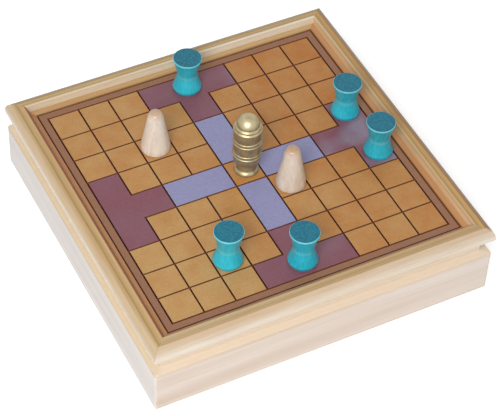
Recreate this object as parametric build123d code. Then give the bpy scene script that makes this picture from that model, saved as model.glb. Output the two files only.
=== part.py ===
from build123d import *
from math import cos, radians, sin
import os

# A 9 x 9 tafl set: a wooden tray, a lift-off lid that carries the board in a mitred picture-frame
# moulding, and turned wooden pieces. Eight pieces stand on the board and seventeen in the tray.
# Millimetres, +Z up. The origin is the centre of the tray's underside, on the table.
# -Y is the front. "out" is a distance from the centre line of the box towards one of its sides.

os.makedirs("parts", exist_ok=True)

# Driving dimensions
cell = 18.1                      # one square of the board
cells_across = 9
board_top = 41.0                 # height of the playing surface above the table

# Tray
tray_half = 99.5                 # half the tray's outside width
wall_thick = 10.0
wall_height = 27.5
corner_round = 1.6               # vertical outside corners
foot_round = 0.8                 # bottom outside edge
floor_thick = 3.0
floor_lift = 3.0                 # underside of the floor above the table
floor_groove = 3.0               # how deep the floor runs into each wall
floor_play = 0.2
liner_thick = 4.0
liner_top = 33.0                 # the liner stands proud of the walls and guides the lid

# Lid
lid_half = 100.0                 # outside of the moulding
lid_base = 35.0                  # underside of the moulding
neck_out = 94.5                  # outside of the neck, set back to leave a finger groove
lid_play = 0.3                   # between the liner and the neck
rebate_floor = 38.0              # the board panel lies on this
rebate_out = 86.6
tongue_out = 81.6                # inner edge of the moulding under the board
panel_gap = 0.6                  # shadow gap round the board panel
edge_round = 0.6                 # small rounds on sharp wooden edges

# Engraved lines of the board
line_width = 1.0
line_depth = 0.6

# Pieces: heights, and radii
attacker_tall = 22.7
attacker_foot = 8.2
attacker_waist = 5.8
attacker_waist_at = 11.0         # height of the waist, a little below the middle
attacker_rim = 8.1
attacker_rim_round = 0.9
defender_tall = 26.8
defender_foot = 8.3
defender_shoulder = 4.4
defender_tip = 3.8               # height of the rounded tip above the shoulder
king_tall = 40.0
king_foot = 7.4                  # height of the bulb foot
king_drum = 7.95
king_drum_tall = 5.7
king_ring = 8.2
king_bead_tall = 1.3
king_dome = 6.4

# Squares in use on the board: column and row counted from the front left square, and how far
# the piece was set down off the middle of its square
attackers_on_board = {
    "e9": (4, 8, -0.1, 0.1),
    "i6": (8, 5, -0.4, -0.7),
    "i4": (8, 3, 1.4, 0.6),
    "c2": (2, 1, -0.9, -0.6),
    "e1": (4, 0, -1.6, 0.8),
}
defenders_on_board = {
    "c7": (2, 6, -0.1, 0.5),
    "f4": (5, 3, 0.7, -0.6),
}
king_on_board = (4, 4, 1.6, 0.9)

# Pieces put away in the tray, in rows along the back wall
store_pitch = 18.6
store_left = -72.8
store_back = 72.8
attackers_per_row = (6, 5)
defenders_in_row = 6


def mitred(section, k):
    """One side of a square frame: the front one, cut at 45 degrees, then turned k quarter turns."""
    bar = extrude(section, lid_half + 1, both=True)
    for lean in (1, -1):
        mitre = Plane(origin=(0, 0, 0), z_dir=(lean, 1, 0))
        bar = split(bar, bisect_by=mitre, keep=Keep.BOTTOM)
    return Rot(0, 0, 90 * k) * bar


def across_front(sketch):
    """Lays a sketch drawn in (out, height) across the front side, where out runs towards -Y."""
    return Plane(origin=(0, 0, 0), x_dir=(0, -1, 0), z_dir=(-1, 0, 0)) * sketch


def strip_section(inner, outer, low, high):
    middle = Pos((inner + outer) / 2, (low + high) / 2)
    return across_front(middle * Rectangle(outer - inner, high - low))


def tray_wall(k):
    inner = tray_half - wall_thick
    section = strip_section(inner, tray_half, 0, wall_height)
    groove = strip_section(inner, inner + floor_groove, floor_lift, floor_lift + floor_thick)
    wall = mitred(section - groove, k)
    block = extrude(RectangleRounded(2 * tray_half, 2 * tray_half, corner_round), wall_height)
    rims = block.faces().sort_by(Axis.Z)
    block = fillet(rims[0].edges() + rims[-1].edges(), foot_round)
    return wall & block


def tray_floor():
    side = 2 * (tray_half - wall_thick + floor_groove - floor_play)
    return Pos(0, 0, floor_lift) * extrude(Rectangle(side, side), floor_thick)


def liner_strip(k):
    outer = tray_half - wall_thick
    section = strip_section(outer - liner_thick, outer, floor_lift + floor_thick, liner_top)
    strip = mitred(section, k)
    lengthways = Axis.X if k % 2 == 0 else Axis.Y
    top_edges = strip.faces().sort_by(Axis.Z)[-1].edges().filter_by(lengthways)
    return fillet(top_edges, edge_round)


def neck_strip(k):
    inner = tray_half - wall_thick + lid_play
    return mitred(strip_section(inner, neck_out, wall_height, lid_base), k)


def moulding_section():
    """Picture-frame moulding: ledge beside the board, steep bead, cove, and a bowed outer face."""
    ledge = (rebate_out, board_top + 0.4)
    crease = (90.2, board_top + 1.1)
    bead_foot = (90.7, board_top + 4.2)
    bead_crown = (91.5, board_top + 5.1)
    bead_end = (92.4, board_top + 4.6)
    cove_low = (93.8, board_top + 3.8)
    cove_end = (95.2, board_top + 4.1)
    bow_start = (95.3, board_top + 4.4)
    bow_mid = (98.0, board_top + 3.2)
    bow_end = (99.8, board_top - 0.2)
    face_top = (lid_half, board_top - 0.9)
    face_low = (lid_half, board_top - 2.7)
    lip_round = (lid_half - 0.2, board_top - 3.0)
    under = (96.4, lid_base)
    outline = [
        Line(ledge, crease),
        Line(crease, bead_foot),
        ThreePointArc(bead_foot, bead_crown, bead_end),
        ThreePointArc(bead_end, cove_low, cove_end),
        Line(cove_end, bow_start),
        ThreePointArc(bow_start, bow_mid, bow_end),
        Line(bow_end, face_top),
        Line(face_top, face_low),
        Line(face_low, lip_round),
        Line(lip_round, under),
        Line(under, (tongue_out, lid_base)),
        Line((tongue_out, lid_base), (tongue_out, rebate_floor)),
        Line((tongue_out, rebate_floor), (rebate_out, rebate_floor)),
        Line((rebate_out, rebate_floor), ledge),
    ]
    return across_front(make_face(outline))


def zone(column, row):
    """The marked zone that a square lies in: its side's T, its side's arm, or none."""
    middle = cells_across // 2
    across, along = column - middle, row - middle
    far, near = max(abs(across), abs(along)), min(abs(across), abs(along))
    side = (across > 0, "x") if abs(across) > abs(along) else (along > 0, "y")
    if (far == middle and near <= 1) or (far == middle - 1 and near == 0):
        return ("T", side)
    if near == 0 and 0 < far < middle - 1:
        return ("arm", side)
    return None


def is_cut(turned, line, step):
    """Whether a groove runs between the two squares beside this stretch of a line."""
    pair = [(line - 1, step), (line, step)]
    if turned:
        pair = [(row, column) for column, row in pair]
    zones = [zone(*spot) for spot in pair if min(spot) >= 0 and max(spot) < cells_across]
    return len(zones) < 2 or zones[0] is None or zones[0] != zones[1]


def line_runs():
    """Runs of engraved line: squares of one zone have no line between them."""
    runs = []
    for turned in (False, True):
        for line in range(cells_across + 1):
            start = None
            for step in range(cells_across + 1):
                cut = step < cells_across and is_cut(turned, line, step)
                if cut and start is None:
                    start = step
                if not cut and start is not None:
                    runs.append((turned, line, start, step))
                    start = None
    return runs


def board_panel():
    side = 2 * (rebate_out - panel_gap)
    panel = Pos(0, 0, rebate_floor) * extrude(Rectangle(side, side), board_top - rebate_floor)
    vee = Polygon((-line_width / 2, 0), (line_width / 2, 0), (0, -line_depth), align=None)
    cuts = []
    for turned, line, start, stop in line_runs():
        length = (stop - start) * cell + line_width
        groove = extrude(Plane.XZ * vee, length / 2, both=True)
        along = (start + stop - cells_across) * cell / 2
        across = (line - cells_across / 2) * cell
        place = Pos(across, along, board_top)
        if turned:
            place = Pos(along, across, board_top) * Rot(0, 0, 90)
        cuts.append(place * groove)
    return panel - cuts


def turned_piece(outline):
    """Turns an outline of (radius, height) points round its axis. The first and last lie on the axis."""
    return revolve(Plane.XZ * make_face(Polyline(*outline, close=True)), Axis.Z)


def attacker():
    """An hourglass peg: rounded foot, waist a little below the middle, flat top with an eased rim."""
    return turned_piece([
        (0, 0),
        (attacker_foot - 0.9, 0),
        (attacker_foot, 2.2),
        (attacker_waist + 0.7, attacker_waist_at - 3.8),
        (attacker_waist, attacker_waist_at),
        (attacker_waist + 0.5, attacker_waist_at + 4.0),
        (attacker_rim, attacker_tall - attacker_rim_round),
        (attacker_rim - 0.5, attacker_tall),
        (0, attacker_tall),
    ])


def stored_attacker():
    """The same peg in plainer lines."""
    return turned_piece([
        (0, 0),
        (attacker_foot, 0),
        (attacker_waist, attacker_waist_at),
        (attacker_rim, attacker_tall),
        (0, attacker_tall),
    ])


def defender():
    """A tall cone with an eased foot and a rounded tip."""
    return turned_piece([
        (0, 0),
        (defender_foot - 0.7, 0),
        (defender_foot, 0.9),
        (defender_shoulder, defender_tall - defender_tip),
        (defender_shoulder - 1.1, defender_tall - 1.1),
        (defender_shoulder - 2.9, defender_tall),
        (0, defender_tall),
    ])


def stored_defender():
    """The same cone in plainer lines."""
    return turned_piece([
        (0, 0),
        (defender_foot, 0),
        (defender_shoulder, defender_tall - defender_tip),
        (defender_shoulder - 2.2, defender_tall),
        (0, defender_tall),
    ])


def king():
    """A bulb foot, three drums with a pair of beads on each, and a domed head."""
    valley = king_drum - 0.15
    head_base = king_tall - king_dome
    outline = [
        (0, 0),
        (king_drum - 1.2, 0),
        (king_drum + 0.1, king_foot / 2 - 0.1),
        (king_drum - 0.4, king_foot),
    ]
    z = king_foot
    for drum in range(3):
        z += king_drum_tall
        outline.append((valley, z))
        for bead in range(2):
            outline.append((king_ring, z + king_bead_tall / 2))
            outline.append((valley, z + king_bead_tall))
            z += king_bead_tall
    outline[-2] = (king_ring - 0.6, outline[-2][1])
    outline[-1] = (king_dome, head_base)
    for turn in (30, 60, 80):
        lean = radians(turn)
        outline.append((king_dome * cos(lean), head_base + king_dome * sin(lean)))
    outline.append((0, king_tall))
    return turned_piece(outline)


def square(column, row, off_x, off_y):
    middle = (cells_across - 1) / 2
    return Pos((column - middle) * cell + off_x, (row - middle) * cell + off_y, board_top)


def stored(row, place):
    on_floor = floor_lift + floor_thick
    return Pos(store_left + place * store_pitch, store_back - row * store_pitch, on_floor)


sides = ("front", "right", "back", "left")
parts = {"tray_floor": tray_floor(), "board_panel": board_panel()}
moulding = moulding_section()
for k, side in enumerate(sides):
    parts["tray_wall_" + side] = tray_wall(k)
    parts["tray_liner_" + side] = liner_strip(k)
    parts["lid_neck_" + side] = neck_strip(k)
    parts["lid_moulding_" + side] = mitred(moulding, k)

one_attacker, one_defender = attacker(), defender()
away_attacker, away_defender = stored_attacker(), stored_defender()
for name, spot in attackers_on_board.items():
    parts["attacker_" + name] = square(*spot) * one_attacker
for name, spot in defenders_on_board.items():
    parts["defender_" + name] = square(*spot) * one_defender
parts["king_e5"] = square(*king_on_board) * king()

number = 0
for row, count in enumerate(attackers_per_row):
    for place in range(count):
        number += 1
        parts[f"stored_attacker_{number:02d}"] = stored(row, place) * away_attacker
for place in range(defenders_in_row):
    parts[f"stored_defender_{place + 1:02d}"] = stored(len(attackers_per_row), place) * away_defender

for node, shape in parts.items():
    export_step(shape, f"parts/{node}.step")
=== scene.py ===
import bpy
import math
from mathutils import Matrix, Vector


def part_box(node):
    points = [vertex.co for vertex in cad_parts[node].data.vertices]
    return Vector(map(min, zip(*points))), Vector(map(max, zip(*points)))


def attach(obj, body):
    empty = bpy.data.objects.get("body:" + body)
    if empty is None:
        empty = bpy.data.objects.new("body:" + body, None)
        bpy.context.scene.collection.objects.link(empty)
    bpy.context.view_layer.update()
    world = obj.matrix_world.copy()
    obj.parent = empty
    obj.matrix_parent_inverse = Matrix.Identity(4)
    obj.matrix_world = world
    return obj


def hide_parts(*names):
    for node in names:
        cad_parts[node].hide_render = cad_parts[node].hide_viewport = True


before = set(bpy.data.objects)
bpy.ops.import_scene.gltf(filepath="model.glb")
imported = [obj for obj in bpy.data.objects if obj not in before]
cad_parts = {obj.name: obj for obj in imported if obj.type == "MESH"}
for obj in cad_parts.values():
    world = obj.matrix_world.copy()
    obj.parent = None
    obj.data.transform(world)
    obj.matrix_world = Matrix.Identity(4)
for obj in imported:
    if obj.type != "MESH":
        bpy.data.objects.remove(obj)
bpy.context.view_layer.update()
print("frame loaded:", len(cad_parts), "nodes")

mm = 0.001
mmPerMetre = 1000
xAxis, yAxis, zAxis = 0, 1, 2
sides = ("front", "right", "back", "left")


def hexToLinear(text):
    value = [int(text[i:i + 2], 16) / 255 for i in (1, 3, 5)]
    return [c / 12.92 if c <= 0.04045 else ((c + 0.055) / 1.055) ** 2.4 for c in value] + [1.0]


def addNode(tree, kind, values=None, out=0, stops=(), **settings):
    # kind: a type of node, or a node that is there already. values: socket -> constant, #colour or link
    node = tree.nodes.new(kind) if isinstance(kind, str) else kind
    for key, value in settings.items():
        setattr(node, key, value)
    for key, value in (values or {}).items():
        if isinstance(value, bpy.types.NodeSocket):
            tree.links.new(value, node.inputs[key])
        elif isinstance(value, str) and value.startswith("#"):
            node.inputs[key].default_value = hexToLinear(value)
        else:
            node.inputs[key].default_value = value
    for number, (place, colour) in enumerate(stops):   # the stops of a colour ramp
        elements = node.color_ramp.elements
        element = elements[number] if number < len(elements) else elements.new(place)
        element.position = place
        element.color = hexToLinear(colour)
    return node.outputs if out is None else node.outputs[out]


# Short words for the types of node used most. A spread reads from socket 1 to 2 and gives from 3 to 4,
# which are 0 and 1 unless set. A blend goes from colour 6 to colour 7.
calc, spread, blend, noise = "ShaderNodeMath", "ShaderNodeMapRange", "ShaderNodeMix", "ShaderNodeTexNoise"
vectorCalc, splitAxes = "ShaderNodeVectorMath", "ShaderNodeSeparateXYZ"
tinted = {"out": 2, "data_type": "RGBA"}
stained = {"out": 2, "data_type": "RGBA", "blend_type": "MULTIPLY"}


def newMaterial(name):
    material = bpy.data.materials.new(name)
    material.use_nodes = True
    tree = material.node_tree
    return material, tree, tree.nodes["Principled BSDF"]


def grain(tree, coords, along, streakMm, seed, detail=4.0, distortion=0.4):
    # noise drawn out along one axis; streakMm is the size of a streak, across the grain and along it.
    # Pores are drawn a few times wider than real ones, so that they show.
    scale = [mmPerMetre / streakMm[0]] * 3
    scale[along] = mmPerMetre / streakMm[1]
    start = (seed, seed * 0.7, seed * 1.3)   # each strip of wood starts elsewhere in the noise
    placed = addNode(tree, "ShaderNodeMapping", {"Vector": coords, "Location": start, "Scale": scale})
    return addNode(tree, noise, {"Vector": placed, "Scale": 1.0, "Detail": detail, "Distortion": distortion})


# Pale pine, planed and satin lacquered: soft long streaks, a faint pink warmth and a low sheen.
# A darker, yellower band under the upper arris is painted shade from the lid's overhang, strongest on the
# left. Above it, in the finger groove, the wood is painted lighter and warmer: painted light that makes up
# for the shade there.
# The colours differ from side to side and hold painted light and shade: greyer on the left, warmer on the
# front.
pine = {
    "front": {"light": "#D8CBC0", "dark": "#C9B5A4", "pooled": "#F6EDDC", "groove": "#E2D2BE"},
    "right": {"light": "#DACDC2", "dark": "#CBB8A8", "pooled": "#F3E4CC", "groove": "#DCCAB2"},
    "back": {"light": "#DACDC2", "dark": "#CBB8A8", "pooled": "#F3E4CC", "groove": "#DCCAB2"},
    "left": {"light": "#DAD5D2", "dark": "#CCC2BC", "pooled": "#EAD8B8", "groove": "#E0CEB2"},
    "streakMm": (7.0, 190.0), "streakLow": 0.35, "streakHigh": 0.7,
    "poreMm": (0.5, 25.0), "poreLow": 0.45, "poreHigh": 0.75, "poreMost": 0.35, "poreSeed": 3.1,
    "pooledFrom": 25.2, "pooledTo": 27.2, "grooveFrom": 27.3, "grooveTo": 27.5, "reliefMm": 0.05,
}


def planedPine(side, along, seed):
    look = pine[side]
    material, tree, shader = newMaterial("wallPinePlanedLacquered_" + side)
    coords = addNode(tree, "ShaderNodeTexCoord", out="Object")
    broad = grain(tree, coords, along, pine["streakMm"], seed)
    pores = grain(tree, coords, along, pine["poreMm"], seed + pine["poreSeed"], detail=3.0, distortion=0.1)
    tone = addNode(tree, spread, {0: broad, 1: pine["streakLow"], 2: pine["streakHigh"]})
    colour = addNode(tree, blend, {0: tone, 6: look["light"], 7: look["dark"]}, **tinted)
    tone = addNode(tree, spread, {0: pores, 1: pine["poreLow"], 2: pine["poreHigh"], 4: pine["poreMost"]})
    colour = addNode(tree, blend, {0: tone, 6: colour, 7: look["dark"]}, **tinted)
    height = addNode(tree, splitAxes, {0: coords}, out=zAxis)
    # painted shade: a darker band on the wall just under the lid's overhang
    pooled = addNode(tree, spread, {0: height, 1: pine["pooledFrom"] * mm, 2: pine["pooledTo"] * mm})
    colour = addNode(tree, blend, {0: pooled, 6: colour, 7: look["pooled"]}, **stained)
    # painted light: the wall's top and the neck in the groove are lightened against the shade under the lid
    inGroove = addNode(tree, spread, {0: height, 1: pine["grooveFrom"] * mm, 2: pine["grooveTo"] * mm})
    colour = addNode(tree, blend, {0: inGroove, 6: colour, 7: look["groove"]}, **tinted)
    relief = addNode(tree, "ShaderNodeBump",
                     {"Height": pores, "Strength": 0.25, "Distance": pine["reliefMm"] * mm})
    addNode(tree, shader, {"Base Color": colour, "Roughness": 0.42, "Coat Weight": 0.12,
                           "Coat Roughness": 0.25, "Normal": relief})
    return material


# Bare pine, sawn thin for the strips inside the tray: yellower than the walls, brown lines, no shine
bare = {
    "light": "#D8B98A", "dark": "#BE935E", "streakMm": (3.0, 120.0), "streakLow": 0.35, "streakHigh": 0.7,
    "poreMm": (0.5, 25.0), "poreLow": 0.45, "poreHigh": 0.75, "poreMost": 0.4, "poreSeed": 3.1,
    "reliefMm": 0.06,
}


def sawnPine(side, along, seed):
    material, tree, shader = newMaterial("linerPineSawnBare_" + side)
    coords = addNode(tree, "ShaderNodeTexCoord", out="Object")
    broad = grain(tree, coords, along, bare["streakMm"], seed)
    pores = grain(tree, coords, along, bare["poreMm"], seed + bare["poreSeed"], detail=3.0, distortion=0.1)
    tone = addNode(tree, spread, {0: broad, 1: bare["streakLow"], 2: bare["streakHigh"]})
    colour = addNode(tree, blend, {0: tone, 6: bare["light"], 7: bare["dark"]}, **tinted)
    tone = addNode(tree, spread, {0: pores, 1: bare["poreLow"], 2: bare["poreHigh"], 4: bare["poreMost"]})
    colour = addNode(tree, blend, {0: tone, 6: colour, 7: bare["dark"]}, **tinted)
    relief = addNode(tree, "ShaderNodeBump",
                     {"Height": pores, "Strength": 0.4, "Distance": bare["reliefMm"] * mm})
    addNode(tree, shader, {"Base Color": colour, "Roughness": 0.62, "Normal": relief})
    return material


# Machined pine moulding under a tinted lacquer. The colour follows the profile through a ramp of stops per
# side, which holds painted shade and painted highlight besides the tint: a dark inner bead on the left, a
# darker outer face on the back and right, a bright inner face on the back. Each stop is a distance out from
# the middle of the board.
moulding = {
    "inner": 86.4, "outer": 100.0, "streak": "#EBD3AE", "pore": "#D4B48C", "reliefMm": 0.05,
    "streakMm": (4.0, 150.0), "streakLow": 0.38, "streakHigh": 0.68, "streakMost": 0.6,
    "poreMm": (0.45, 22.0), "poreLow": 0.45, "poreHigh": 0.75, "poreMost": 0.35, "poreSeed": 5.3,
    "front": ((86.4, "#8A6040"), (87.8, "#AE7C50"), (89.6, "#B38256"), (90.4, "#A87A54"), (91.0, "#B2946E"),
              (91.8, "#B8A07C"), (93.2, "#A5926A"), (94.4, "#C1AC8A"), (95.15, "#C19E78"), (95.6, "#CCB599"),
              (97.6, "#C2AD93"), (99.2, "#CABAA7"), (100.0, "#DACFC0")),
    "right": ((86.4, "#A07040"), (87.8, "#B8824E"), (89.7, "#B4895A"), (90.4, "#D8BD9A"), (91.0, "#C9AF88"),
              (91.8, "#B8A47A"), (93.2, "#BB9A5E"), (94.5, "#B59058"), (95.15, "#BE9659"), (95.7, "#967146"),
              (98.4, "#9A7E5A"), (100.0, "#C9B79E")),
    "back": ((86.4, "#AC865A"), (88.0, "#C09A68"), (89.7, "#B29468"), (90.4, "#DDD0BC"), (91.0, "#DBD2C0"),
             (91.8, "#CABCA0"), (93.2, "#B9A47C"), (94.5, "#BAA57A"), (95.15, "#B59E6E"), (95.8, "#A38E6E"),
             (98.4, "#9E8E76"), (100.0, "#C0B098")),
    "left": ((86.4, "#B07A4A"), (88.8, "#BC864C"), (89.6, "#8A5024"), (90.2, "#6E3414"), (91.0, "#7A4620"),
             (91.6, "#945E30"), (92.1, "#C4A47C"), (93.2, "#B39967"), (94.6, "#B39864"), (95.15, "#B4945A"),
             (95.8, "#B69F78"), (97.4, "#C3AC8A"), (99.5, "#C2AE90"), (100.0, "#DCD0C2")),
}


def mouldingTintAndPaintedLight(side, along, seed):
    look, inner, outer = moulding, moulding["inner"], moulding["outer"]
    material, tree, shader = newMaterial("mouldingPineMachinedTintLacquered_" + side)
    coords = addNode(tree, "ShaderNodeTexCoord", out="Object")
    place = addNode(tree, splitAxes, {0: coords}, out=yAxis - along)
    place = addNode(tree, calc, {0: place}, operation="ABSOLUTE")
    place = addNode(tree, spread, {0: place, 1: inner * mm, 2: outer * mm})
    # the ramp: tint with painted shade and painted highlight, set per side
    stops = [((at - inner) / (outer - inner), colour) for at, colour in look[side]]
    tintAndPaintedLight = addNode(tree, "ShaderNodeValToRGB", {0: place}, stops=stops)
    broad = grain(tree, coords, along, look["streakMm"], seed)
    pores = grain(tree, coords, along, look["poreMm"], seed + look["poreSeed"], detail=3.0, distortion=0.1)
    tone = addNode(tree, spread, {0: broad, 1: look["streakLow"], 2: look["streakHigh"],
                                  4: look["streakMost"]})
    colour = addNode(tree, blend, {0: tone, 6: tintAndPaintedLight, 7: look["streak"]}, **stained)
    tone = addNode(tree, spread, {0: pores, 1: look["poreLow"], 2: look["poreHigh"], 4: look["poreMost"]})
    colour = addNode(tree, blend, {0: tone, 6: colour, 7: look["pore"]}, **stained)
    relief = addNode(tree, "ShaderNodeBump",
                     {"Height": pores, "Strength": 0.25, "Distance": look["reliefMm"] * mm})
    addNode(tree, shader, {"Base Color": colour, "Roughness": 0.38, "Coat Weight": 0.2,
                           "Coat Roughness": 0.2, "Normal": relief})
    return material


# The board: stained and lacquered wood with scored lines, dark pigment rubbed into the scores, and painted
# shade in the lines along Y.
# The stain lies in soft clouds, with fine flecks where the pores took more of it.
board = {
    "cell": 18.1, "half": 86.0, "top": 41.0,
    "scoreSkin": 0.04, "edgeSkin": 0.4, "bareBelow": 2.9,   # in mm from the top or the edge
    # places counted in squares from the middle of the board; a line lies on every half
    "onAxis": 0.5, "armMiddle": 1.5, "armReach": 0.6, "teeFrom": 2.5, "teeBar": 3.5, "lastLine": 4.5,
    "lineAt": 0.5, "lineHalf": 0.035,
    "ochre": "#BA925B", "orange": "#AE6E30", "purple": "#7E4C58", "lavender": "#8C8DB4", "border": "#90654B",
    "haze": "#8B8CA0", "line": "#34100A", "lineAcross": "#5A2E14", "edge": "#4A2410", "underside": "#C9A672",
    "warmSlope": (0.75, 0.3, 0), "warmFrom": -4.6, "warmTo": 5.4, "warmMost": 0.8, "squareShare": 0.2,
    "cloudMm": 12.0, "cloudLow": 0.3, "cloudHigh": 0.7, "cloudShare": 0.25,
    "hazePerMetre": 45.0, "hazeLow": 0.4, "hazeHigh": 0.64, "hazeMost": 0.62,
    "hazeFrom": 10, "hazeTo": 55, "hazeAtLeft": 0.12,
    "grainMm": (0.7, 16.0), "streak": "#C8B49C", "streakLow": 0.4, "streakHigh": 0.8, "streakMost": 0.12,
    "fleckMm": 1.1, "fleck": "#B8987A", "fleckLow": 0.35, "fleckHigh": 0.7, "fleckMost": 0.2,
    "reliefMm": 0.04,
}


def stainedBoard():
    look, top = board, board["top"]
    material, tree, shader = newMaterial("boardWoodStainedScored")
    coords = addNode(tree, "ShaderNodeTexCoord", out="Object")
    place = addNode(tree, splitAxes, {0: coords}, out=None)
    # whole numbers of squares from the middle one, -4 to 4
    perCell = 1 / (look["cell"] * mm)
    inCells = addNode(tree, vectorCalc, {0: coords, 1: (perCell, perCell, perCell)}, operation="MULTIPLY")
    shifted = addNode(tree, vectorCalc, {0: inCells, 1: (0.5, 0.5, 0)}, operation="ADD")
    whole = addNode(tree, vectorCalc, {0: shifted}, operation="FLOOR")
    distance = addNode(tree, vectorCalc, {0: whole}, operation="ABSOLUTE")
    across, along = addNode(tree, splitAxes, {0: distance}, out=None)[:2]
    far = addNode(tree, calc, {0: across, 1: along}, operation="MAXIMUM")
    near = addNode(tree, calc, {0: across, 1: along}, operation="MINIMUM")
    # a T stands on the middle of each side: three squares on the edge and the one inside them
    onEdge = addNode(tree, calc, {0: far, 1: look["teeBar"]}, operation="GREATER_THAN")
    reach = addNode(tree, calc, {0: onEdge, 1: look["onAxis"]}, operation="ADD")
    narrow = addNode(tree, calc, {0: near, 1: reach}, operation="LESS_THAN")
    isT = addNode(tree, calc, {0: far, 1: look["teeFrom"]}, operation="GREATER_THAN")
    isT = addNode(tree, calc, {0: isT, 1: narrow}, operation="MULTIPLY")
    # an arm of the cross is the two squares beside the middle one
    onAxis = addNode(tree, calc, {0: near, 1: look["onAxis"]}, operation="LESS_THAN")
    isArm = addNode(tree, calc, {0: far, 1: look["armMiddle"], 2: look["armReach"]}, operation="COMPARE")
    isArm = addNode(tree, calc, {0: isArm, 1: onAxis}, operation="MULTIPLY")
    size = addNode(tree, vectorCalc, {0: inCells}, operation="ABSOLUTE")
    sizeX, sizeY = addNode(tree, splitAxes, {0: size}, out=None)[:2]
    outward = addNode(tree, calc, {0: sizeX, 1: sizeY}, operation="MAXIMUM")
    isBorder = addNode(tree, calc, {0: outward, 1: look["lastLine"]}, operation="GREATER_THAN")
    # the ochre warms to orange from the left to the right and back, and a little from square to square
    slope = addNode(tree, vectorCalc, {0: inCells, 1: look["warmSlope"]}, out=1, operation="DOT_PRODUCT")
    warm = addNode(tree, spread, {0: slope, 1: look["warmFrom"], 2: look["warmTo"], 4: look["warmMost"]})
    chance = addNode(tree, "ShaderNodeTexWhiteNoise", {"Vector": whole})
    warm = addNode(tree, calc, {0: chance, 1: look["squareShare"], 2: warm}, operation="MULTIPLY_ADD")
    cloud = addNode(tree, noise, {"Vector": coords, "Scale": mmPerMetre / look["cloudMm"], "Detail": 4.0})
    cloudy = addNode(tree, spread, {0: cloud, 1: look["cloudLow"], 2: look["cloudHigh"],
                                    3: -look["cloudShare"], 4: look["cloudShare"]})
    warm = addNode(tree, calc, {0: warm, 1: cloudy}, operation="ADD")
    colour = addNode(tree, blend, {0: warm, 6: look["ochre"], 7: look["orange"]}, **tinted)
    # the purple squares go grey in noisy patches, most of all towards the right
    paleMask = addNode(tree, noise, {"Vector": coords, "Scale": look["hazePerMetre"], "Detail": 2.0})
    paleMask = addNode(tree, spread, {0: paleMask, 1: look["hazeLow"], 2: look["hazeHigh"], 4: look["hazeMost"]})
    rightward = addNode(tree, spread, {0: place[xAxis], 1: look["hazeFrom"] * mm, 2: look["hazeTo"] * mm,
                                       3: look["hazeAtLeft"], 4: 1.0})
    paleMask = addNode(tree, calc, {0: paleMask, 1: rightward}, operation="MULTIPLY")
    purple = addNode(tree, blend, {0: paleMask, 6: look["purple"], 7: look["haze"]}, **tinted)
    colour = addNode(tree, blend, {0: isT, 6: colour, 7: purple}, **tinted)
    colour = addNode(tree, blend, {0: isArm, 6: colour, 7: look["lavender"]}, **tinted)
    colour = addNode(tree, blend, {0: isBorder, 6: colour, 7: look["border"]}, **tinted)
    streak = grain(tree, coords, xAxis, look["grainMm"], seed=2.0, detail=3.0, distortion=0.3)
    tone = addNode(tree, spread, {0: streak, 1: look["streakLow"], 2: look["streakHigh"],
                                  4: look["streakMost"]})
    colour = addNode(tree, blend, {0: tone, 6: colour, 7: look["streak"]}, **stained)
    fleck = addNode(tree, noise, {"Vector": coords, "Scale": mmPerMetre / look["fleckMm"], "Detail": 3.0})
    tone = addNode(tree, spread, {0: fleck, 1: look["fleckLow"], 2: look["fleckHigh"], 4: look["fleckMost"]})
    colour = addNode(tree, blend, {0: tone, 6: colour, 7: look["fleck"]}, **stained)
    # pigment: brown in the lines along X; nearly black in the ones along Y, with painted shade, as they lie
    # across the light
    scored = addNode(tree, calc, {0: place[zAxis], 1: (top - look["scoreSkin"]) * mm}, operation="LESS_THAN")
    fraction = addNode(tree, vectorCalc, {0: inCells}, operation="FRACTION")
    fraction = addNode(tree, splitAxes, {0: fraction}, out=yAxis)
    alongX = addNode(tree, calc, {0: fraction, 1: look["lineAt"], 2: look["lineHalf"]}, operation="COMPARE")
    pigmentAndShade = addNode(tree, blend, {0: alongX, 6: look["line"], 7: look["lineAcross"]}, **tinted)
    colour = addNode(tree, blend, {0: scored, 6: colour, 7: pigmentAndShade}, **tinted)
    # painted shadow: a dark rim round the board, where the gap to the moulding lies in shade
    edgeAt = (look["half"] - look["edgeSkin"]) / look["cell"]
    onRim = addNode(tree, calc, {0: outward, 1: edgeAt}, operation="GREATER_THAN")
    colour = addNode(tree, blend, {0: onRim, 6: colour, 7: look["edge"]}, **tinted)
    under = addNode(tree, calc, {0: place[zAxis], 1: (top - look["bareBelow"]) * mm}, operation="LESS_THAN")
    colour = addNode(tree, blend, {0: under, 6: colour, 7: look["underside"]}, **tinted)
    relief = addNode(tree, "ShaderNodeBump",
                     {"Height": fleck, "Strength": 0.12, "Distance": look["reliefMm"] * mm})
    addNode(tree, shader, {"Base Color": colour, "Roughness": 0.42, "Specular IOR Level": 0.35,
                           "Coat Weight": 0.08, "Coat Roughness": 0.2, "Normal": relief})
    return material


# Birch plywood, sanded: pale and even, with short fine pores
plywood = {
    "light": "#DCC49A", "dark": "#C8A877", "pore": "#A9824F", "reliefMm": 0.05,
    "streakMm": (9.0, 110.0), "streakLow": 0.3, "streakHigh": 0.7,
    "poreMm": (0.4, 6.0), "poreLow": 0.55, "poreHigh": 0.8, "poreMost": 0.4,
}


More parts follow.
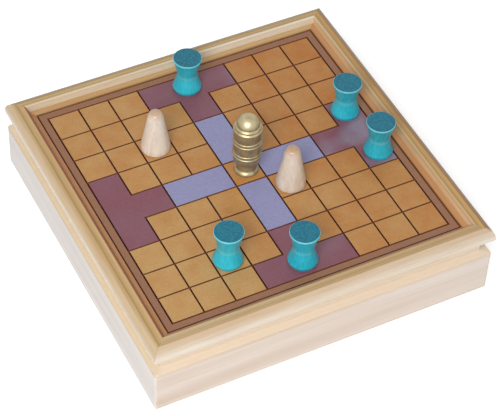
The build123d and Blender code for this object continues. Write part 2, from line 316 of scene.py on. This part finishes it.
def sandedPlywood():
    look = plywood
    material, tree, shader = newMaterial("floorBirchPlywoodSanded")
    coords = addNode(tree, "ShaderNodeTexCoord", out="Object")
    broad = grain(tree, coords, xAxis, look["streakMm"], seed=4.0)
    pores = grain(tree, coords, xAxis, look["poreMm"], seed=7.0, detail=2.0, distortion=0.0)
    tone = addNode(tree, spread, {0: broad, 1: look["streakLow"], 2: look["streakHigh"]})
    colour = addNode(tree, blend, {0: tone, 6: look["light"], 7: look["dark"]}, **tinted)
    tone = addNode(tree, spread, {0: pores, 1: look["poreLow"], 2: look["poreHigh"], 4: look["poreMost"]})
    colour = addNode(tree, blend, {0: tone, 6: colour, 7: look["pore"]}, **tinted)
    relief = addNode(tree, "ShaderNodeBump",
                     {"Height": pores, "Strength": 0.2, "Distance": look["reliefMm"] * mm})
    addNode(tree, shader, {"Base Color": colour, "Roughness": 0.65, "Normal": relief})
    return material


def turnedPlace(tree):
    # what the lathe tree stores: the place on the piece, from the middle of its own foot
    place = addNode(tree, "ShaderNodeAttribute", out="Vector", attribute_name="turned")
    height = addNode(tree, splitAxes, {0: place}, out=zAxis)
    return place, height


# Turned hardwood under a tinted turquoise lacquer: wet shine and soft streaks up the sides, a darker
# mottled top where the end grain drinks it, and a pale arris and waist that are painted highlight
attacker = {
    "pale": "#30B8CC", "deep": "#1490A4", "rim": "#86D2D8", "top": "#02768E", "topDeep": "#015466",
    "streakMm": (1.1, 26.0), "streakShare": 0.5, "cloudMm": 5.0, "cloudShare": 0.3, "mottleMm": 1.1,
    "noiseLow": 0.3, "noiseHigh": 0.7, "reliefMm": 0.06,
    "waistAt": 11.2, "waistFrom": 1.8, "waistFull": 0.4, "waistMost": 0.28,   # mm away from the waist
    "arrisFrom": 21.4, "arrisFull": 22.0, "arrisMost": 0.6, "topFrom": 22.58,
}


def turquoiseLacquer():
    look, low, high = attacker, attacker["noiseLow"], attacker["noiseHigh"]
    material, tree, shader = newMaterial("attackerTurnedWoodTurquoiseLacquer")
    place, height = turnedPlace(tree)
    ownTone = addNode(tree, "ShaderNodeAttribute", out="Fac", attribute_name="tone")
    streak = grain(tree, place, zAxis, look["streakMm"], seed=1.5, detail=3.0, distortion=0.3)
    cloud = addNode(tree, noise, {"Vector": place, "Scale": mmPerMetre / look["cloudMm"], "Detail": 2.0})
    deep = addNode(tree, spread, {0: streak, 1: low, 2: high, 4: look["streakShare"]})
    cloudy = addNode(tree, spread, {0: cloud, 1: low, 2: high, 4: look["cloudShare"]})
    deep = addNode(tree, calc, {0: deep, 1: cloudy}, operation="ADD")
    deep = addNode(tree, calc, {0: deep, 1: ownTone}, operation="ADD")
    colour = addNode(tree, blend, {0: deep, 6: look["pale"], 7: look["deep"]}, **tinted)
    # painted highlight: a pale band round the waist and the upper arris
    fromWaist = addNode(tree, calc, {0: height, 1: look["waistAt"] * mm}, operation="SUBTRACT")
    fromWaist = addNode(tree, calc, {0: fromWaist}, operation="ABSOLUTE")
    waist = addNode(tree, spread, {0: fromWaist, 1: look["waistFrom"] * mm, 2: look["waistFull"] * mm,
                                   4: look["waistMost"]})
    arris = addNode(tree, spread, {0: height, 1: look["arrisFrom"] * mm, 2: look["arrisFull"] * mm,
                                   4: look["arrisMost"]})
    paleMask = addNode(tree, calc, {0: waist, 1: arris}, operation="MAXIMUM")
    colour = addNode(tree, blend, {0: paleMask, 6: colour, 7: look["rim"]}, **tinted)
    mottle = addNode(tree, noise, {"Vector": place, "Scale": mmPerMetre / look["mottleMm"], "Detail": 5.0})
    mottled = addNode(tree, spread, {0: mottle, 1: low, 2: high})
    topColour = addNode(tree, blend, {0: mottled, 6: look["top"], 7: look["topDeep"]}, **tinted)
    onTop = addNode(tree, calc, {0: height, 1: look["topFrom"] * mm}, operation="GREATER_THAN")
    colour = addNode(tree, blend, {0: onTop, 6: colour, 7: topColour}, **tinted)
    relief = addNode(tree, "ShaderNodeBump",
                     {"Height": streak, "Strength": 0.2, "Distance": look["reliefMm"] * mm})
    addNode(tree, shader, {"Base Color": colour, "Roughness": 0.38, "Specular IOR Level": 0.35,
                           "Coat Weight": 0.16, "Coat Roughness": 0.12, "Normal": relief})
    return material


# Turned pale wood, clear lacquer: cream with fine lines of grain up the cone, browner at the tip
defender = {
    "pale": "#E0D5C8", "deep": "#B89C80", "tip": "#D9BFA8", "tipFrom": 23.3, "tipTo": 26.5, "reliefMm": 0.05,
    "lineMm": (0.55, 20.0), "lineLow": 0.3, "lineHigh": 0.75, "lineShare": 0.4,
    "bandMm": (3.5, 60.0), "bandLow": 0.4, "bandHigh": 0.7, "bandShare": 0.35,
}


def clearLacquer():
    look = defender
    material, tree, shader = newMaterial("defenderTurnedPaleWoodClearLacquer")
    place, height = turnedPlace(tree)
    ownTone = addNode(tree, "ShaderNodeAttribute", out="Fac", attribute_name="tone")
    lines = grain(tree, place, zAxis, look["lineMm"], seed=6.5, detail=4.0, distortion=0.3)
    bands = grain(tree, place, zAxis, look["bandMm"], seed=8.5, detail=2.0, distortion=0.6)
    deep = addNode(tree, spread, {0: lines, 1: look["lineLow"], 2: look["lineHigh"], 4: look["lineShare"]})
    banded = addNode(tree, spread, {0: bands, 1: look["bandLow"], 2: look["bandHigh"], 4: look["bandShare"]})
    deep = addNode(tree, calc, {0: deep, 1: banded}, operation="ADD")
    deep = addNode(tree, calc, {0: deep, 1: ownTone}, operation="ADD")
    colour = addNode(tree, blend, {0: deep, 6: look["pale"], 7: look["deep"]}, **tinted)
    tip = addNode(tree, spread, {0: height, 1: look["tipFrom"] * mm, 2: look["tipTo"] * mm})
    colour = addNode(tree, blend, {0: tip, 6: colour, 7: look["tip"]}, **stained)
    relief = addNode(tree, "ShaderNodeBump",
                     {"Height": lines, "Strength": 0.2, "Distance": look["reliefMm"] * mm})
    addNode(tree, shader, {"Base Color": colour, "Roughness": 0.4, "Coat Weight": 0.35,
                           "Coat Roughness": 0.2, "Normal": relief})
    return material


# Bronze powder in lacquer on turned wood: a satin metal, with a broad soft shine and fine tool rings
king = {
    "gold": "#BCAF88", "brown": "#96865C", "cloudMm": 4.0, "toneLow": 0.35, "toneHigh": 0.7,
    "dullLow": 0.3, "dullHigh": 0.7, "roughLeast": 0.4, "roughMost": 0.46, "ringMm": 0.5, "reliefMm": 0.02,
}


def goldBronze():
    look = king
    material, tree, shader = newMaterial("kingTurnedWoodBronzeLacquer")
    place, height = turnedPlace(tree)
    cloud = addNode(tree, noise, {"Vector": place, "Scale": mmPerMetre / look["cloudMm"], "Detail": 4.0})
    pitch = addNode(tree, calc, {0: height, 1: mmPerMetre / look["ringMm"]}, operation="MULTIPLY")
    rings = addNode(tree, noise, {"W": pitch, "Scale": 1.0, "Detail": 2.0}, noise_dimensions="1D")
    tone = addNode(tree, spread, {0: cloud, 1: look["toneLow"], 2: look["toneHigh"]})
    colour = addNode(tree, blend, {0: tone, 6: look["gold"], 7: look["brown"]}, **tinted)
    dull = addNode(tree, spread, {0: cloud, 1: look["dullLow"], 2: look["dullHigh"],
                                  3: look["roughLeast"], 4: look["roughMost"]})
    relief = addNode(tree, "ShaderNodeBump",
                     {"Height": rings, "Strength": 0.05, "Distance": look["reliefMm"] * mm})
    addNode(tree, shader, {"Base Color": colour, "Metallic": 0.88, "Roughness": dull, "Coat Weight": 0.8,
                           "Coat Roughness": 0.36, "Normal": relief})
    return material


print("making materials")
pieceMaterials = {"attacker": turquoiseLacquer(), "defender": clearLacquer(), "king": goldBronze()}
nodeMaterials = {"board_panel": stainedBoard(), "tray_floor": sandedPlywood()}
# the noise's seed on the front strip, and the step to the next side
seeds = {"wall": (0.0, 11.0), "liner": (5.0, 7.0), "moulding": (3.0, 9.0)}
for number, side in enumerate(sides):
    along = number % 2   # the grain runs along X on the front and back, along Y on the others
    seed = {strip: first + step * number for strip, (first, step) in seeds.items()}
    nodeMaterials["tray_wall_" + side] = planedPine(side, along, seed["wall"])
    nodeMaterials["lid_neck_" + side] = nodeMaterials["tray_wall_" + side]
    nodeMaterials["tray_liner_" + side] = sawnPine(side, along, seed["liner"])
    nodeMaterials["lid_moulding_" + side] = mouldingTintAndPaintedLight(side, along, seed["moulding"])
for name, material in nodeMaterials.items():
    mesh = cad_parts[name].data
    mesh.materials.clear()
    mesh.materials.append(material)

# How the pieces are turned: sizes in mm, and how far each differs from the one before in turn and tone.
# Spindle is the small radius left round the axis, which is welded shut.
turning = {
    "steps": {"attacker": 64, "defender": 64, "king": 96}, "bowSteps": 10, "spindle": 0.01, "weld": 0.002,
    "crisp": 0.07, "longRun": 0.5, "turnStep": 2.4, "toneStep": 0.618, "toneSpread": 0.5,
    "slots": {"attacker": "teal_wood", "defender": "cream_wood", "king": "gilded_wood"},
}


def latheTree():
    # turns an outline drawn in X (radius) and Y (height) round Z, and sets it down at Place
    tree = bpy.data.node_groups.new("turnOnLathe", "GeometryNodeTree")
    tree.is_modifier = True
    sockets = {"Outline": "NodeSocketGeometry", "Steps": "NodeSocketInt", "Place": "NodeSocketVector",
               "Turn": "NodeSocketFloat", "Tone": "NodeSocketFloat", "Finish": "NodeSocketMaterial"}
    for name, kind in sockets.items():
        tree.interface.new_socket(name, in_out="INPUT", socket_type=kind)
    tree.interface.new_socket("Piece", in_out="OUTPUT", socket_type="NodeSocketGeometry")
    given = addNode(tree, "NodeGroupInput", out=None)
    spindle = addNode(tree, "GeometryNodeCurvePrimitiveCircle",
                      {"Resolution": given["Steps"], "Radius": turning["spindle"] * mm})
    outline = addNode(tree, "GeometryNodeMeshToCurve", {"Mesh": given["Outline"]})
    piece = addNode(tree, "GeometryNodeCurveToMesh", {"Curve": spindle, "Profile Curve": outline})
    piece = addNode(tree, "GeometryNodeMergeByDistance",
                    {"Geometry": piece, "Distance": turning["weld"] * mm})
    piece = addNode(tree, "GeometryNodeSetShadeSmooth", {"Geometry": piece, "Shade Smooth": True})
    position = addNode(tree, "GeometryNodeInputPosition")
    piece = addNode(tree, "GeometryNodeStoreNamedAttribute",
                    {"Geometry": piece, "Name": "turned", "Value": position}, data_type="FLOAT_VECTOR")
    piece = addNode(tree, "GeometryNodeStoreNamedAttribute",
                    {"Geometry": piece, "Name": "tone", "Value": given["Tone"]}, data_type="FLOAT")
    spin = addNode(tree, "ShaderNodeCombineXYZ", {zAxis: given["Turn"]})
    piece = addNode(tree, "GeometryNodeTransform",
                    {"Geometry": piece, "Translation": given["Place"], "Rotation": spin})
    piece = addNode(tree, "GeometryNodeRealizeInstances", {"Geometry": piece})
    piece = addNode(tree, "GeometryNodeSetMaterial", {"Geometry": piece, "Material": given["Finish"]})
    addNode(tree, "NodeGroupOutput", {0: piece}, out=None)
    return tree


def outlinePoints(steps):
    # steps: (radius, height) for a straight run, (midRadius, midHeight, radius, height) for a bow
    points = [steps[0]]
    for step in steps[1:]:
        start, end = points[-1], step[-2:]
        if len(step) == 2:   # a point close to each end of a long straight run keeps its corners crisp
            length = math.hypot(end[0] - start[0], end[1] - start[1])
            if length > turning["longRun"]:
                for part in (turning["crisp"] / length, 1 - turning["crisp"] / length):
                    points.append(tuple(start[a] + part * (end[a] - start[a]) for a in (0, 1)))
            points.append(end)
            continue
        pull = [2 * step[a] - 0.5 * (start[a] + end[a]) for a in (0, 1)]
        for k in range(1, turning["bowSteps"] + 1):
            t = k / turning["bowSteps"]
            ends = [(1 - t) ** 2 * start[a] + t * t * end[a] for a in (0, 1)]
            points.append(tuple(ends[a] + 2 * t * (1 - t) * pull[a] for a in (0, 1)))
    return points


# Radius and height along each outline, in mm
outlines = {
    "attacker": [(0, 0), (7.0, 0), (7.55, 0.06, 7.75, 0.5), (8.15, 1.4, 8.2, 2.3), (7.35, 4.6, 6.5, 7.4),
                 (6.0, 9.2, 5.85, 10.9), (5.95, 12.2, 6.25, 14.2), (6.95, 17.6, 7.75, 20.6),
                 (8.02, 21.2, 8.1, 21.75), (8.1, 22.2), (8.05, 22.45, 7.8, 22.6), (7.5, 22.7), (0, 22.7)],
    "defender": [(0, 0), (7.5, 0), (8.1, 0.1, 8.3, 0.9), (8.22, 2.2, 8.1, 3.2), (6.3, 12.6, 4.6, 22.0),
                 (3.75, 25.3, 2.2, 26.5), (1.2, 26.8, 0, 26.8)],
    "king": [(0, 0), (6.5, 0), (6.95, 0.05, 7.05, 0.5), (6.8, 1.3, 6.1, 2.1), (5.6, 2.9, 5.45, 4.4),
             (5.55, 6.2, 6.7, 7.6), (7.45, 8.8, 7.75, 12.1)],
}
beads = {"low": 13.0, "pitch": 9.1, "gap": 2.3, "crown": 8.15, "valley": 7.75, "half": 0.75}
drum = {"radius": 7.8, "bow": 7.85, "from": 3.3, "middle": 5.6, "to": 8.1}   # heights above the lower bead
for low in (beads["low"], beads["low"] + beads["pitch"]):
    for crown in (low, low + beads["gap"]):   # two beads with a groove between them
        outlines["king"] += [(beads["valley"], crown - beads["half"]),
                             (beads["crown"], crown, beads["valley"], crown + beads["half"])]
    outlines["king"] += [(drum["radius"], low + drum["from"]),
                         (drum["bow"], low + drum["middle"], drum["radius"], low + drum["to"])]
outlines["king"] += [(beads["valley"], 30.6), (8.1, 31.4, 7.5, 32.2), (7.2, 32.3), (7.25, 33.2, 6.6, 33.9),
                     (6.4, 34.0), (5.91, 36.28, 4.53, 38.22), (2.45, 39.52, 0, 39.97)]

lathe = latheTree()
socketNames = {item.name: item.identifier for item in lathe.interface.items_tree if item.in_out == "INPUT"}


def turnedMesh(name, kind, node, number):
    low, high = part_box(node)
    points = outlinePoints(outlines[kind])
    mesh = bpy.data.meshes.new(name + "Outline")
    verts = [((radius - turning["spindle"]) * mm, -height * mm, 0) for radius, height in points]
    mesh.from_pydata(verts, [(k, k + 1) for k in range(len(verts) - 1)], [])
    blank = bpy.data.objects.new(name + "Blank", mesh)
    bpy.context.scene.collection.objects.link(blank)
    modifier = blank.modifiers.new("lathe", "NODES")
    modifier.node_group = lathe
    modifier[socketNames["Steps"]] = turning["steps"][kind]
    modifier[socketNames["Place"]] = ((low.x + high.x) / 2, (low.y + high.y) / 2, low.z)
    modifier[socketNames["Turn"]] = turning["turnStep"] * number
    modifier[socketNames["Tone"]] = turning["toneSpread"] * ((number * turning["toneStep"]) % 1 - 0.5)
    modifier[socketNames["Finish"]] = pieceMaterials[kind]
    bpy.context.view_layer.update()
    evaluated = blank.evaluated_get(bpy.context.evaluated_depsgraph_get())
    plain = bpy.data.meshes.new_from_object(evaluated)
    bpy.data.objects.remove(blank)
    volume = sum(plain.vertices[p.vertices[0]].co.dot(p.normal) * p.area for p in plain.polygons)
    if volume < 0:   # faces point outwards
        plain.flip_normals()
    return plain


print("turning the pieces")
turnedNames = ("attacker", "defender", "king", "stored")
turnedNodes = sorted(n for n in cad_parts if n.split("_")[0] in turnedNames)
for number, node in enumerate(turnedNodes):
    kind = node.replace("stored_", "").split("_")[0]
    piece = bpy.data.objects.new("turned_" + node, turnedMesh("turned_" + node, kind, node, number))
    bpy.context.scene.collection.objects.link(piece)
    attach(piece, node)
    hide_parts(node)

print("camera, light and floor")
view = {"place": (-0.3584, -0.6613, 0.8181), "lens": 142.66, "sensor": 36, "nearest": 0.01,
        "right": (0.89303, -0.44870, 0.03403), "up": (0.30787, 0.66439, 0.68103),
        "back": (-0.32819, -0.59771, 0.73146)}
cameraData = bpy.data.cameras.new("photoCamera")
cameraData.lens = view["lens"]
cameraData.sensor_width = view["sensor"]
cameraData.sensor_fit = "HORIZONTAL"
cameraData.clip_start = view["nearest"]
camera = bpy.data.objects.new("photoCamera", cameraData)
axes = [Vector(view[k]).normalized() for k in ("right", "up", "back")]
camera.matrix_world = Matrix.Translation(view["place"]) @ Matrix(axes).transposed().to_4x4()
bpy.context.scene.collection.objects.link(camera)
bpy.context.scene.camera = camera

aim = Vector((0, 0, 0.04))
lamps = {
    "windowLight": {"kind": "SUN", "energy": 0.3, "from": (-0.60, -0.62, 1.0), "angle": math.radians(25)},
    "softBox": {"kind": "AREA", "energy": 13.5, "from": (-0.66, -0.80, 0.98), "size": 0.6},
}
for name, lamp in lamps.items():
    data = bpy.data.lights.new(name, lamp["kind"])
    data.energy = lamp["energy"]
    if lamp["kind"] == "SUN":
        data.angle = lamp["angle"]
    else:
        data.size = lamp["size"]
    light = bpy.data.objects.new(name, data)
    light.location = lamp["from"]
    light.rotation_euler = (aim - Vector(lamp["from"])).to_track_quat("-Z", "Y").to_euler()
    bpy.context.scene.collection.objects.link(light)

# The world is white to the eye and in reflections, and lights the object at a lower level
room = {"ambient": 0.52, "seen": 1.0, "floor": 0.86, "floorSeen": 0.42, "floorReach": 4.0}
world = bpy.data.worlds.new("studioWhite")
bpy.context.scene.world = world
world.use_nodes = True
tree = world.node_tree
path = addNode(tree, "ShaderNodeLightPath", out=None)
seen = addNode(tree, calc, {0: path["Is Camera Ray"], 1: path["Is Glossy Ray"]}, operation="MAXIMUM")
seen = addNode(tree, calc, {0: seen, 1: path["Is Transmission Ray"]}, operation="MAXIMUM")
strength = addNode(tree, spread, {0: seen, 3: room["ambient"], 4: room["seen"]})
addNode(tree, tree.nodes["Background"], {"Color": "#FFFFFF", "Strength": strength})

# A matt pale floor, which looks white outside the object's shadow
reach = room["floorReach"]
corners = [(-reach, -reach, 0), (reach, -reach, 0), (reach, reach, 0), (-reach, reach, 0)]
floorMesh = bpy.data.meshes.new("paleFloor")
floorMesh.from_pydata(corners, [], [(0, 1, 2, 3)])
floor = bpy.data.objects.new("paleFloor", floorMesh)
bpy.context.scene.collection.objects.link(floor)
material, tree, shader = newMaterial("paleFloorMatt")
path = addNode(tree, "ShaderNodeLightPath", out="Is Camera Ray")
glow = addNode(tree, calc, {0: path, 1: room["floorSeen"]}, operation="MULTIPLY")
addNode(tree, shader, {"Base Color": [room["floor"]] * 3 + [1], "Roughness": 0.9, "Emission Color": "#FFFFFF",
                       "Emission Strength": glow})
floorMesh.materials.append(material)

bpy.context.scene.view_settings.view_transform = "Standard"
